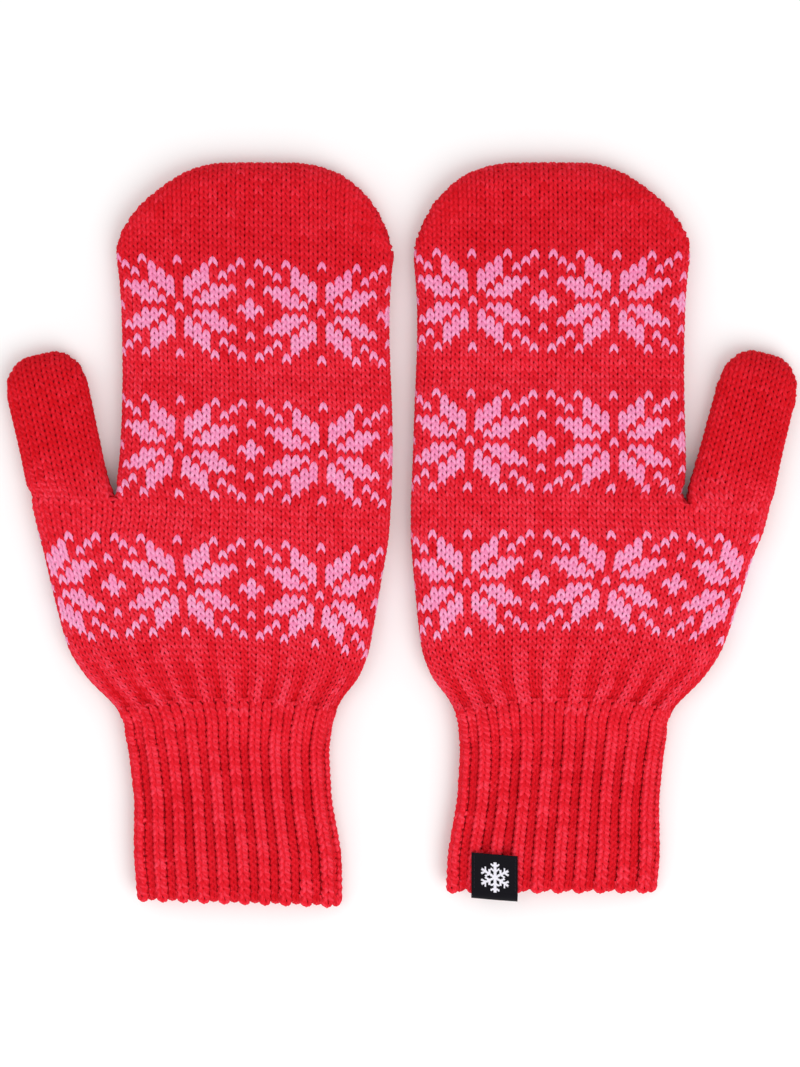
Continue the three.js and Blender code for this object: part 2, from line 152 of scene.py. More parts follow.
# How light the yarn is, from 0 to 1. Painted shade and painted highlight: it is painted darker where the
# fabric turns down or stands in furrows, and lighter on ribs and on the crests of pleats.
PLAIN_SHADE = 0.45
# Painted shade: the yarn is painted darker over the fingertip's last rows, where the fabric turns down.
TIP_PAINTED_SHADE = 0.3
TIP_PAINTED_SHADE_START = 30  # row of the hand
TIP_PAINTED_SHADE_ROWS = 8
# Painted shade: the thumb's yarn is painted darker from its root outward.
THUMB_PAINTED_SHADE = 0.55
THUMB_PAINTED_SHADE_ROWS = 9
EVEN_SHADE = 0.5
# Painted shading above the wrist: lighter on the pleats' crests, darker between them.
PLEAT_PAINTED_SHADING = 0.45
PLEAT_PAINTED_SHADING_ROWS = 12
PLEAT_PAINTED_SHADING_MIDDLE = 0.3
# Painted highlight on the cuff's ribs and painted shade in its furrows.
RIB_PAINTED_HIGHLIGHT = 0.57
FURROW_PAINTED_SHADE = 0.13
RIB_AND_FURROW_PAINTED_ROWS = 12

# ---- The yarn's look ----

PLY_TWIST = 2.6  # in radians per mm
FIBRE_ACROSS = 1.6
FIBRE_ALONG = 0.7  # fibres are longer than they are wide
FIBRE_SPREAD = (900, 900, 900)  # moves each stitch to its own part of the noise
FIBRE_SCALE = 3.2
PATCH_SCALE = 55.0
FIBRE_WEIGHT = 0.55  # these four add up to the shade, which picks the colour
PATCH_WEIGHT = 0.13
TONE_WEIGHT = 0.34
PLY_WEIGHT = 0.18
DEEP_TO_MIDDLE = (0.32, 0.72)
MIDDLE_TO_BRIGHT = (0.6, 0.97)
PLY_BUMP = 0.00016  # bumps are in metres
FIBRE_BUMP = 0.00022
RIDGE_BUMP = 0.0009
FINE_BUMP = 0.0002
WEAVE_BUMP = 0.0001
RIDGE_WAVE = 1.1

# ---- Settling the fabric as cloth ----

SETTLE_FRAMES = 12
SETTLE_CAP = (0.2, 0.2, 1.4)  # the most a point may move along x, y and z
UNDERSIDE = 4.5  # fabric lower than this lies on the table and does not move
CLOTH = {
    "quality": 6,
    "mass": 0.002,
    "tension_stiffness": 40,
    "compression_stiffness": 40,
    "bending_stiffness": 2,
    "vertex_group_mass": "held",
    "use_pressure": True,
    "uniform_pressure_force": 0.35,
}

# ---- The cast-off edge ----

WRAPS_ON_RIB = 3
WRAPS_ON_FURROW = 2
WRAP_SEGMENTS = 12
WRAP_SIDES = 6
WRAP_RADIUS = 0.62
WRAP_LEAN = 0.28  # in columns
WRAP_DEPTH = 1.15
WRAP_REACH = 1.1
WRAP_LEG = 2.2
WRAP_LIFT = 0.1
WRAP_TURN = 0.7  # of a wrap's length, the part that goes round the rim
WRAP_SHADE_JITTER = 0.12

# ---- Light and camera ----

WORLD_BRIGHTNESS = 0.72
LIGHTS = (  # name, place and target in metres, size in metres, power in watts
    ("key", (0.55, -0.75, 1.15), (0, -0.06, 0), 1.2, 10),
    ("fill", (-0.8, 0.1, 1.3), (0, 0, 0), 1.5, 4),
)
CAMERA_LENS = 100
CAMERA_SENSOR = 36
CAMERA_Y = -0.2
FRAMED_HEIGHT = 373.45  # of what the picture takes in, at the height FRAMED_Z above the table
FRAMED_Z = 6

# ---- The label ----

LABEL_TILT = 0.075  # drop across the label, in mm per mm
LABEL_THICKNESS = 0.5
LABEL_LIFT = 0.35  # middle of the label above the ribs
LABEL_INSIDE = 6.2  # middle of its inner end below the top of the ribs
LABEL_BEND = 2.2  # height of its fold round the hem
LABEL_BEND_STEPS = 15
LABEL_BACK = 9.0  # length of its inner end
LABEL_BACK_RISE = 0.02  # in mm per mm
LABEL_STEADY = 3  # nearer its fold than this the label keeps its height
RIPPLE = 0.12  # how far the label rises and falls over the ribs
RIPPLE_LENGTH = 6.8
CELL = 0.25  # size of a woven cell
ARM = 5.3  # length of an arm of the snowflake
ARM_HALF_WIDTH = 0.4
BARB_AT = (2.1, 3.7)
BARB_LENGTH = 1.7
BARB_THINNING = 0.8
THREAD_PITCH = 1.45
THREAD_STITCH = 1.15  # length of one stitch
THREAD_SEGMENTS = 8
THREAD_SIDES = 6
THREAD_RADIUS = 0.17
THREAD_ARCH = 0.2
THREAD_SINK = 0.1

# One quarter of the star pattern: lines go out from the star's middle row, letters from its column.
CHART = (
    "X......XX",
    "..XXX...X",
    ".X.XXX...",
    ".XX.XXX..",
    ".XXX....X",
    "..XX.X...",
    "...X..X..",
    "X...X..X.",
)
CHART_REPEAT = 16
STAR_COLUMN = 7  # column of the hand in which a star's middle lies
CUFF_SEED = 11
WRAP_SEED = 5

MITTENS = {
    "left": {
        "thumb_side": -1,
        "lean": math.radians(12.6),
        "tilt": -0.048,
        "turn": 0.0,
        "palm_turn": 0.75,
        "star_rows": (8, 29),
        "palm_star_row": 17,
        "hem_slant": -0.03,
        "hem_drop": 0.0,
    },
    "right": {
        "thumb_side": 1,
        "lean": math.radians(14.6),
        "tilt": -0.012,
        "turn": -0.45,
        "palm_turn": -0.2,
        "star_rows": (9, 30),
        "palm_star_row": 18,
        "hem_slant": 0.0,
        "hem_drop": 0.5,
    },
}


def smooth(value):
    value = np.clip(value, 0, 1)
    return value * value * (3 - 2 * value)


def mixed(a, b, weight):
    return a * (1 - weight) + b * weight


def node_box(name):
    low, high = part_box(name)
    return np.array(low) / MM, np.array(high) / MM


def joint_point(name):
    joint = next(j for j in frame["joints"] if j["name"] == name)
    return np.array(joint["pos_m"]) / MM


# ---- Reading the CAD's outlines ----


def node_edges(name):
    mesh = frame["nodes"][name].data
    points = np.empty(len(mesh.vertices) * 3, np.float32)
    mesh.vertices.foreach_get("co", points)
    edges = np.empty(len(mesh.edges) * 2, np.int32)
    mesh.edges.foreach_get("vertices", edges)
    return points.reshape(-1, 3).astype(float)[edges.reshape(-1, 2)] / MM


class Outline:
    """Sides and height of some CAD nodes, at steps along a direction on the table from an origin."""

    def __init__(self, nodes, start, stop, origin=(0, 0), along=(0, 1), even=(0, 0)):
        edges = np.concatenate([node_edges(n) for n in nodes])
        along = np.array(along, float)
        across = np.array([along[1], -along[0]])
        flat = edges[:, :, :2] - np.array(origin, float)
        s, v, z = flat @ along, flat @ across, edges[:, :, 2]
        self.origin, self.along, self.across = np.array(origin, float), along, across
        self.s = np.linspace(start, stop, int((stop - start) / OUTLINE_STEP) + 1)
        found = []
        for level in self.s:
            cut = (s[:, 0] - level) * (s[:, 1] - level) < 0
            if cut.sum() < 4:
                found.append((np.nan,) * 3)
                continue
            share = (level - s[cut, 0]) / (s[cut, 1] - s[cut, 0])
            side = v[cut, 0] + share * (v[cut, 1] - v[cut, 0])
            height = z[cut, 0] + share * (z[cut, 1] - z[cut, 0])
            found.append((side.min(), side.max(), height.max()))
        columns = np.array(found).T
        self.low, self.high, self.top = (self._filled(c, even) for c in columns)
        self.top = np.maximum(self.top, THINNEST)

    def _filled(self, values, even):
        """A side's values with gaps filled, softened except over the even lengths at both ends."""
        known = ~np.isnan(values)
        values = np.interp(self.s, self.s[known], values[known])
        reach = np.arange(-SOFTENING_REACH, SOFTENING_REACH + 1)
        kernel = np.exp(-((reach / SOFTENING) ** 2))
        padded = np.pad(values, SOFTENING_REACH, mode="reflect", reflect_type="odd")
        soft = np.convolve(padded, kernel / kernel.sum(), "valid")
        ends = smooth((self.s - self.s[0]) / max(even[0], 0.1) - 0.5)
        ends = ends * smooth((self.s[-1] - self.s) / max(even[1], 0.1) - 0.5)
        return mixed(values, soft, ends)

    def at(self, s):
        low, high, top = (np.interp(s, self.s, a) for a in (self.low, self.high, self.top))
        return (low + high) / 2, (high - low) / 2 - INSET, top


# ---- Sections ----


def arc(half_width, rise, power):
    angle = np.linspace(0, math.pi, ARC_POINTS)
    across = -np.sign(np.cos(angle)) * np.abs(np.cos(angle)) ** (2 / power)
    up = np.abs(np.sin(angle)) ** (2 / power)
    steps = np.hypot(np.diff(across * half_width), np.diff(up * rise))
    length = np.concatenate([[0], np.cumsum(steps)])
    return across, up, length / length[-1]


def around(fractions, half_width, top):
    """Where fractions of the way round a section lie: 0 to 1 over the top, 1 to 2 back underneath."""
    over = arc(half_width, top * (1 - WAIST) - INSET, CROWN_POWER)
    under = arc(half_width, top * WAIST - INSET, SOLE_POWER)
    back = fractions > 1
    across = np.where(
        back,
        -np.interp(fractions - 1, under[2], under[0]),
        np.interp(fractions, over[2], over[0]),
    )
    up = np.where(
        back, -np.interp(fractions - 1, under[2], under[1]), np.interp(fractions, over[2], over[1])
    )
    return across, up


def place(outline, across, up, s):
    """Points of a tube whose place in its section is known, each at its own distance along."""
    middle, half_width, top = outline.at(s)
    waist = top * WAIST
    z = waist + np.where(up > 0, up * (top - waist - INSET), up * (waist - INSET))
    v = middle + half_width * across
    flat = outline.origin + v[..., None] * outline.across + s[..., None] * outline.along
    return np.concatenate([flat, z[..., None]], -1)


def even_fractions(columns):
    """Fractions round a section for column numbers given in fronts, from 0 to 2."""
    part = columns % 1
    return np.floor(columns) + part - MIDDLE_WIDENING * np.sin(2 * math.pi * part) / (2 * math.pi)


def tube(points, steps, closed):
    """A tube's grid, with what the yarn needs at each point of it."""
    across = np.roll(points, -1, 1) - np.roll(points, 1, 1)
    along = np.gradient(points, axis=0)
    short = np.linalg.norm(along, axis=-1) < SHORTEST_STEP
    normal = np.cross(across, along)
    normal /= np.maximum(np.linalg.norm(normal, axis=-1), 1e-9)[..., None]
    for r in range(1, len(points)):
        normal[r][short[r]] = normal[r - 1][short[r]]
    width = np.linalg.norm(across, axis=-1) / 2 * steps
    return {"points": points, "normals": normal, "widths": width, "steps": steps, "closed": closed}


def read_grid(grid, r, c):
    """Values between the points of a grid that goes round: r is a row's number, c a column's."""
    r0 = np.clip(np.floor(r).astype(int), 0, len(grid) - 2)
    c0 = np.floor(c).astype(int)
    share_r, share_c = (r - r0)[..., None], (c - c0)[..., None]
    c0, c1 = c0 % grid.shape[1], (c0 + 1) % grid.shape[1]
    low = mixed(grid[r0, c0], grid[r0, c1], share_c)
    high = mixed(grid[r0 + 1, c0], grid[r0 + 1, c1], share_c)
    return mixed(low, high, share_r)


def sample(made, rows, columns):
    """Points, normals and column widths of a tube at numbers of its rows and columns."""
    r, c = rows * made["steps"], columns * made["steps"]
    normal = read_grid(made["normals"], r, c)
    normal = normal / np.maximum(np.linalg.norm(normal, axis=-1), 1e-6)[..., None]
    return read_grid(made["points"], r, c), normal, read_grid(made["widths"][..., None], r, c)[..., 0]


# ---- The tubes of one mitten ----


def band_arch(rows_below):
    """How far a row's ends hang below its middle, by rows below the crotch."""
    return np.interp(rows_below, ARCH_ROWS, ARCH_DROPS)


def palm_grid(mitten, outline, crotch_y, wrist_y, steps=2):
    columns = np.arange(2 * PALM_COLUMNS * steps) / steps / PALM_COLUMNS
    part = columns % 1
    mirrored = (columns >= 1) != (mitten["thumb_side"] > 0)
    knee = THUMB_SIDE_COLUMNS / PALM_COLUMNS
    uneven = np.interp(np.where(mirrored, 1 - part, part), (0, knee, 1), (0, THUMB_SHARE, 1))
    uneven = np.floor(columns) + np.where(mirrored, 1 - uneven, uneven)
    pitch = (crotch_y - wrist_y) / PALM_ROWS
    rows = []
    for step in range(PALM_ROWS * steps + 1):
        row = step / steps
        y = wrist_y + row * pitch
        below = PALM_ROWS - row
        fractions = mixed(uneven, even_fractions(columns), smooth(below / SHARING_ROWS))
        turned = mitten["palm_turn"] / PALM_COLUMNS * smooth(below / TURNING_ROWS)
        fractions = (fractions + turned) % 2
        _, half_width, top = outline.at(y)
        across, up = around(fractions, half_width, top)
        tilt = mitten["tilt"] * smooth(row / TILTING_ROWS)
        own_y = y - band_arch(below) * across**2 + tilt * half_width * across
        points = place(outline, across, up, own_y)
        pleat = PLEAT * smooth((wrist_y + PLEAT_LENGTH - own_y) / (PLEAT_LENGTH + PLEAT_BELOW))
        wave = np.cos(math.pi * (CUFF_COLUMNS * fractions - RIB_SHARE))
        points[:, 2] += pleat * (wave - PLEAT_MIDDLE) * up
        rows.append(points)
    return tube(np.array(rows), steps, False)


def tip_paths(outline, start, stop, across, up, first_points, first_s):
    """Paths over a closed tip: each column runs straight on and over the folded edge."""
    s = np.linspace(start, stop, GUIDE_POINTS)
    low = np.minimum.accumulate(np.interp(s, outline.s, outline.low)) + INSET
    high = np.maximum.accumulate(np.interp(s, outline.s, outline.high)) - INSET
    middle, half_width, _ = outline.at(s)
    paths, lengths = [], []
    for c in range(len(across)):
        guide = (low + high) / 2 + (high - low) / 2 * across[c]
        place_in = (guide - middle) / np.maximum(half_width, TINY)
        outside = np.nonzero(np.abs(place_in) > 1)[0]
        end = s[outside[0]] if len(outside) else stop
        end = max(end, first_s[c] + SHORTEST_PATH)
        own = first_s[c] + (end - first_s[c]) * np.sin(np.linspace(0, math.pi / 2, PATH_POINTS))
        v = np.interp(own, s, guide)
        mid, half, high_z = outline.at(own)
        u = np.clip(np.abs((v - mid) / np.maximum(half, TINY)), 0, 1)
        power = CROWN_POWER if up[c] > 0 else SOLE_POWER
        shape = (1 - u**power) ** (1 / power)
        waist = high_z * WAIST
        z = waist + (shape * (high_z - waist - INSET) if up[c] > 0 else -shape * (waist - INSET))
        z += (first_points[c, 2] - z[0]) * np.linspace(1, 0, len(z))
        z[-1] = waist[-1]
        flat = outline.origin + v[:, None] * outline.across + own[:, None] * outline.along
        path = np.concatenate([flat, z[:, None]], 1)
        shift = (first_points[c] - path[0]) * np.linspace(1, 0, len(path))[:, None]
        path = path + shift
        length = np.concatenate([[0], np.cumsum(np.linalg.norm(np.diff(path, axis=0), axis=1))])
        lengths.append(length[-1])
        paths.append((path, length))
    return paths, np.array(lengths)


def point_along(path, length, share):
    return [np.interp(share * length[-1], length, path[:, k]) for k in range(3)]


def closed_grid(outline, straight, columns_in_front, first_row, carry, slant, start, stop, steps=2):
    """A tube that closes at its tip. Its first rows grow out of the palm's last row."""
    count = 2 * columns_in_front * steps
    columns = np.arange(count) / steps / columns_in_front
    rows = []
    for step in range(straight * steps + 1):
        row = step / steps
        s = start + row * ROW
        middle, half_width, top = outline.at(s)
        across, up = around(even_fractions(columns), half_width, top)
        own_s = s + slant(row, middle + half_width * across)
        points = place(outline, across, up, own_s)
        grown = first_row + np.append(outline.along, 0) * row * ROW
        flat = mixed(points[:, :2], grown[:, :2], 1 - smooth(row / carry[0]))
        height = mixed(points[:, 2:], grown[:, 2:], 1 - smooth(row / carry[1]))
        rows.append(np.concatenate([flat, height], 1))
    first_s = (rows[-1][:, :2] - outline.origin) @ outline.along
    paths, lengths = tip_paths(outline, first_s.min(), stop, across, up, rows[-1], first_s)
    for step in range(1, DOME * steps + 1):
        share = step / (DOME * steps)
        rows.append(np.array([point_along(path, length, share) for path, length in paths]))
    made = tube(np.array(rows), steps, True)
    made["dome_lengths"] = lengths
    made["straight"] = straight
    return made


def cuff_grid(mitten, outline, wrist_y, hem_y, steps=4):
    count = 2 * CUFF_COLUMNS * steps
    columns = np.arange(count) / steps
    pair = columns / 2
    in_pair = (pair % 1) * 2
    share = np.where(in_pair < 1, RIB_SHARE * in_pair, RIB_SHARE + (1 - RIB_SHARE) * (in_pair - 1))
    fractions = (np.floor(pair) + share) / (CUFF_COLUMNS / 2)
    crest = np.tanh(RIB_SQUARENESS * np.cos(math.pi * (columns - 0.5))) / math.tanh(RIB_SQUARENESS)
    pitch = (wrist_y - hem_y) / CUFF_ROWS
    relief_middle = (RIB_RISE - FURROW_DEPTH) / 2
    relief = (RIB_RISE + FURROW_DEPTH) / 2
    rows = []
    for step in range(CUFF_ROWS * steps + 1):
        row = step / steps
        y = hem_y + row * pitch
        _, half_width, top = outline.at(y)
        across, up = around(fractions, half_width - RIB_RISE, top - 2 * RIB_RISE)
        lobe = LOBE * (0.5 + 0.5 * crest) * smooth((LOBE_ROWS - row) / LOBE_ROWS)
        near_hem = smooth((HEM_SLANT_ROWS - row) / HEM_SLANT_ROWS)
        slant = mitten["hem_slant"] * half_width * across * near_hem
        own_y = y - band_arch(PALM_ROWS + CUFF_ROWS - row) * across**2 - lobe + slant
        points = place(outline, across, up, own_y)
        points[:, 2] = points[:, 2] * (1 - 2 * RIB_RISE / top) + RIB_RISE
        rows.append(points)
    base = tube(np.array(rows), steps, False)
    rows_up = np.arange(CUFF_ROWS * steps + 1) / steps
    grow = smooth((CUFF_ROWS + RIB_GROWTH_ABOVE - rows_up) / RIB_GROWTH_ROWS)
    offset = (relief_middle + relief * crest)[None, :] * grow[:, None]
    return tube(base["points"] + base["normals"] * offset[..., None], steps, False)


def make_tubes(side):
    mitten = MITTENS[side]
    everything = [f"{side}_{part}" for part in ("fingers", "palm", "thumb", "cuff", "cuff_edge")]
    hem_y = node_box(f"{side}_cuff_edge")[0][1]
    tip_y = node_box(f"{side}_fingers")[1][1]
    wrist_y = (node_box(f"{side}_palm")[0][1] + node_box(f"{side}_cuff")[1][1]) / 2
    root = joint_point(f"{side}_thumb_swing")[:2]
    crotch_y = root[1] + CROTCH_ABOVE_ROOT
    body = Outline(everything, hem_y + HEM_GAP, crotch_y, even=BODY_EVEN)
    hand_nodes = [f"{side}_fingers", f"{side}_palm"]
    hand = Outline(hand_nodes, crotch_y, tip_y - TIP_GAP, even=HAND_EVEN)
    palm = palm_grid(mitten, body, crotch_y, wrist_y)
    last = palm["points"][-1]
    steps = palm["steps"]
    thumb_first = 0 if mitten["thumb_side"] < 0 else HAND_COLUMNS
    hand_first = THUMB_SIDE_COLUMNS if mitten["thumb_side"] < 0 else 0

    def part_of_last(first, count, made_of):
        """The palm's last row over some of its columns, front and back, split into made_of columns."""
        across = np.arange(2 * made_of * steps) / steps
        front = first + across * count / made_of
        mirrored = 2 * PALM_COLUMNS - first - count + (across - made_of) * count / made_of
        at = np.where(across < made_of, front, mirrored) * steps
        low = np.floor(at).astype(int)
        points = mixed(last[low % len(last)], last[(low + 1) % len(last)], (at - low)[:, None])
        for turn_at, seam in ((0, first), (made_of, first + count)):
            upper = last[int(seam * steps) % len(last)]
            lower = last[int((2 * PALM_COLUMNS - seam) * steps) % len(last)]
            points[turn_at * steps] = (upper + lower) / 2
        return points

    palm_middle = body.at(crotch_y)[0]
    hand_tube = closed_grid(
        hand,
        STRAIGHT_ROWS,
        HAND_COLUMNS,
        part_of_last(hand_first, HAND_COLUMNS, HAND_COLUMNS),
        carry=HAND_CARRY,
        slant=lambda row, v: mitten["tilt"] * (v - palm_middle),
        start=crotch_y,
        stop=tip_y - INSET,
    )
    lean = mitten["lean"]
    along = np.array([mitten["thumb_side"] * math.sin(lean), math.cos(lean)])
    tip_s = ((node_edges(f"{side}_thumb")[:, :, :2] - root) @ along).max()
    thumb = Outline([f"{side}_thumb"], 0, tip_s - TIP_GAP, root, along, even=THUMB_EVEN)
    swell = ROOT_SWELL * (1 - smooth(thumb.s / ROOT_SWELL_LENGTH))
    if mitten["thumb_side"] < 0:
        thumb.low = thumb.low - swell
    else:
        thumb.high = thumb.high + swell
    level = -thumb.across[1] / along[1]
    thumb_tube = closed_grid(
        thumb,
        THUMB_ROWS,
        THUMB_COLUMNS,
        part_of_last(thumb_first, THUMB_SIDE_COLUMNS, THUMB_COLUMNS),
        carry=THUMB_CARRY,
        slant=lambda row, v: level * (1 - smooth(row / THUMB_LEVEL_ROWS)) * v,
        start=(CROTCH_ABOVE_ROOT + mitten["tilt"] * (root[0] - palm_middle)) / along[1],
        stop=tip_s - INSET,
    )
    lowest = hem_y + LOBE + INSET + HEM_ABOVE_CAD - mitten["hem_drop"]
    cuff_tube = cuff_grid(mitten, body, wrist_y, lowest)
    return {
        "hand": settle(hand_tube, "high"),
        "palm": settle(palm, None),
        "thumb": settle(thumb_tube, "high"),
        "cuff": settle(cuff_tube, "low"),
        "outline": body,
    }


# ---- Settling the fabric ----


def ring_quads(a, b):
    """Quads from each loop of points in a to the loop in b."""
    return np.stack([a, np.roll(a, -1, -1), np.roll(b, -1, -1), b], -1).reshape(-1, 4)


def strip_quads(a, b):
    """Quads from each open row of points in a to the row in b."""
    return np.stack([a[..., :-1], a[..., 1:], b[..., 1:], b[..., :-1]], -1).reshape(-1, 4)


def tip_quads(last):
    """Quads that join the front and the back of a tube's last loop."""
    count = len(last)
    front = np.arange(count // 2)
    far = (count - front) % count
    return np.stack([last[front], last[front + 1], last[far - 1], last[far]], -1)


def settle(made, free_end):
    """Lets a tube's upper layer sag as cloth, held by the layer on the table and the rows it joins."""
    steps = made["steps"]
    coarse = made["points"][::steps, ::steps]
    row_count, count = coarse.shape[:2]
    index = np.arange(row_count * count).reshape(row_count, count)
    faces = ring_quads(index[:-1], index[1:])
    if made["closed"]:
        faces = np.concatenate([faces, tip_quads(index[-1])])
    piece = mesh_from("settling", coarse.reshape(-1, 3), faces)
    held = index[coarse[..., 2] < UNDERSIDE].tolist()
    if free_end != "low":
        held += index[:2].ravel().tolist()
    if free_end != "high":
        held += index[-2:].ravel().tolist()
    piece.vertex_groups.new(name="held").add(held, 1.0, "REPLACE")
    cloth = piece.modifiers.new("cloth", "CLOTH")
    for key, value in CLOTH.items():
        setattr(cloth.settings, key, value)
    cloth.collision_settings.use_collision = False
    scene = bpy.context.scene
    for number in range(1, SETTLE_FRAMES + 1):
        scene.frame_set(number)
    evaluated = piece.evaluated_get(bpy.context.evaluated_depsgraph_get())
    moved = np.empty(row_count * count * 3, np.float32)
    evaluated.data.vertices.foreach_get("co", moved)
    scene.frame_set(1)
    mesh = piece.data
    bpy.data.objects.remove(piece)
    bpy.data.meshes.remove(mesh)
    shift = moved.reshape(row_count, count, 3) / MM - coarse
    shift = np.nan_to_num(shift)
    shift = np.clip(shift, [-c for c in SETTLE_CAP], SETTLE_CAP)
    shift[..., 2] *= smooth((coarse[..., 2] - UNDERSIDE + 1) / 2)
    rows = np.arange(len(made["points"])) / steps
    columns = np.arange(made["points"].shape[1]) / steps
    shift = read_grid(shift, rows[:, None], columns[None, :])
    return {**made, **tube(made["points"] + shift, steps, made["closed"])}


# ---- Stitches ----


def is_pink(column, row, star_column, star_row):
    out = np.abs((column - star_column + CHART_REPEAT // 2) % CHART_REPEAT - CHART_REPEAT // 2)
    up = np.abs(row - star_row)
    table = np.array([[letter == "X" for letter in line] for line in CHART])
    return (up < len(CHART)) & table[np.minimum(up, len(CHART) - 1), out]


def lattice(columns, rows, turn=0.0):
    """Stitches in whole rows: column and row numbers, and where each stitch's middle lies."""
    row, column = (a.ravel() for a in np.mgrid[0:rows, 0:columns])
    return {
        "column": column,
        "row": row,
        "c": column + 0.5 + turn,
        "r": row + 0.5,
        "span": np.ones(len(row)),
    }


def with_dome(stitches, made, columns, turn):
    """Adds the stitches of a closed tip, each column as long as its path over the edge."""
    parts = [stitches]
    grid_columns = np.arange(len(made["dome_lengths"])) / made["steps"]
    for column in range(columns):
        c = (column + 0.5 + turn) % columns
        length = np.interp(c, grid_columns, made["dome_lengths"], period=columns)
        count = int(round(length / ROW))
        if count == 0:
            continue
        step = DOME / count
        index = np.arange(count)
        parts.append(
            {
                "column": np.full(count, column),
                "row": made["straight"] + index,
                "c": np.full(count, column + 0.5 + turn),
                "r": made["straight"] + (index + 0.5) * step,
                "span": np.full(count, step),
            }
        )
    return {key: np.concatenate([p[key] for p in parts]) for key in stitches}


def chosen(stitches, mask):
    return {key: values[mask] for key, values in stitches.items()}


def knit_loop(segments):
    """The path of one stitch: across in columns, along in rows, up in loop depths."""
    step = 2 * math.pi / segments
    t = -math.pi + step * np.arange(-1, segments + 2)
    across = (t + LOOP_OVERLAP * np.sin(2 * t) - LOOP_ASYMMETRY * np.sin(t)) / (2 * math.pi)
    return across, -LOOP_HALF_HEIGHT * np.cos(t), -np.cos(2 * t) - HEAD_LIFT * np.cos(t)


def uv_cells(count):
    across = math.ceil(math.sqrt(count))
    index = np.arange(count)
    return index % across / across, index // across / across, 1 / across


def mesh_from(name, points, faces, uv=None, lattice_uv=None):
    """A mesh object from points in millimetres and an array of quads."""
    mesh = bpy.data.meshes.new(name)
    mesh.vertices.add(len(points))
    mesh.vertices.foreach_set("co", (points * MM).astype(np.float32).ravel())
    mesh.loops.add(faces.size)
    mesh.loops.foreach_set("vertex_index", faces.astype(np.int32).ravel())
    mesh.polygons.add(len(faces))
    mesh.polygons.foreach_set("loop_start", np.arange(0, faces.size, 4, dtype=np.int32))
    mesh.polygons.foreach_set("use_smooth", np.ones(len(faces), bool))
    if uv is not None:
        mesh.uv_layers.new(name="OFBake").data.foreach_set("uv", uv.astype(np.float32).ravel())
    if lattice_uv is not None:
        layer = mesh.uv_layers.new(name="Lattice")
        layer.data.foreach_set("uv", lattice_uv.astype(np.float32).ravel())
    mesh.update(calc_edges=True)
    mesh.validate()
    made = bpy.data.objects.new(name, mesh)
    bpy.context.scene.collection.objects.link(made)
    return made


def point_attribute(piece, name, kind, field, values):
    attribute = piece.data.attributes.new(name, kind, "POINT")
    attribute.data.foreach_set(field, values.astype(np.float32).ravel())


def tubes_mesh(name, centre, normal, radius, sides, tone):
    """Round yarn along many short paths. Each path has one extra point at both ends for its direction."""
    tangent = centre[:, 2:] - centre[:, :-2]
    centre, normal = centre[:, 1:-1], normal[:, 1:-1]
    side = np.cross(tangent, normal)
    side /= np.maximum(np.linalg.norm(side, axis=-1), 1e-9)[..., None]
    lift = np.cross(side, tangent)
    lift /= np.maximum(np.linalg.norm(lift, axis=-1), 1e-9)[..., None]
    angle = 2 * math.pi * np.arange(sides) / sides
    ring = lift[:, :, None] * np.cos(angle)[:, None] + side[:, :, None] * np.sin(angle)[:, None]
    points = centre[:, :, None] + ring * radius[..., None, None]
    count, length = centre.shape[:2]
    grid = np.arange(count * length * sides).reshape(count, length, sides)
    faces = ring_quads(grid[:, :-1], grid[:, 1:])
    u0, v0, cell = uv_cells(count)
    k = (np.arange(length - 1) / (length - 1) * UV_FILL + UV_EDGE)[None, :, None, None]
    m = (np.arange(sides) / sides * UV_FILL + UV_EDGE)[None, None, :, None]
    dk = UV_FILL / (length - 1) * np.array([0, 0, 1, 1])
    dm = UV_FILL / sides * np.array([0, 1, 1, 0])
    shape = (count, length - 1, sides, 4)
    u = np.broadcast_to(u0[:, None, None, None] + (k + dk) * cell, shape)
    v = np.broadcast_to(v0[:, None, None, None] + (m + dm) * cell, shape)
    piece = mesh_from(name, points.reshape(-1, 3), faces, np.stack([u, v], -1).reshape(-1, 2))
    distance = np.linalg.norm(np.diff(centre, axis=1), axis=-1)
    distance = np.concatenate([np.zeros((count, 1)), np.cumsum(distance, 1)], 1)
    strand = np.empty((count, length, sides, 3))
    strand[..., 0] = np.cos(angle)
    strand[..., 1] = np.sin(angle)
    strand[..., 2] = distance[:, :, None]
    point_attribute(piece, "strand", "FLOAT_VECTOR", "vector", strand)
    point_attribute(piece, "tone", "FLOAT", "value", np.repeat(tone, length * sides))
    return piece


def yarn_piece(name, made, stitches, loop, segments, sides, seed, tone):
    rng = np.random.default_rng(seed)
    count = len(stitches["c"])
    across, along, up = (path * size for path, size in zip(knit_loop(segments), loop))
    jitter = rng.normal(0, 1, (count, 4))
    across = across * (1 + WIDTH_JITTER * jitter[:, :1])
    columns = stitches["c"][:, None] + across + COLUMN_JITTER * jitter[:, 1:2]
    along = along + ROW_JITTER * jitter[:, 2:3]
    rows = stitches["r"][:, None] + along * stitches["span"][:, None]
    points, normals, widths = sample(made, rows, columns)
    width = np.median(widths, 1)
    depth = np.clip(width * LOOP_DEPTH, LOOP_DEPTH_LEAST, LOOP_DEPTH_MOST)
    depth = depth * (SIDE_DEPTH + (1 - SIDE_DEPTH) * np.abs(normals[:, segments // 2, 2]))
    centre = points + normals * (depth[:, None] * up)[..., None]
    radius = np.clip(width * YARN, YARN_LEAST, YARN_MOST) * (1 + WIDTH_JITTER * jitter[:, 3])
    radius = np.repeat(radius[:, None], segments + 1, 1)
    return tubes_mesh(name, centre, normals, radius, sides, tone + TONE_JITTER * jitter[:, 0])


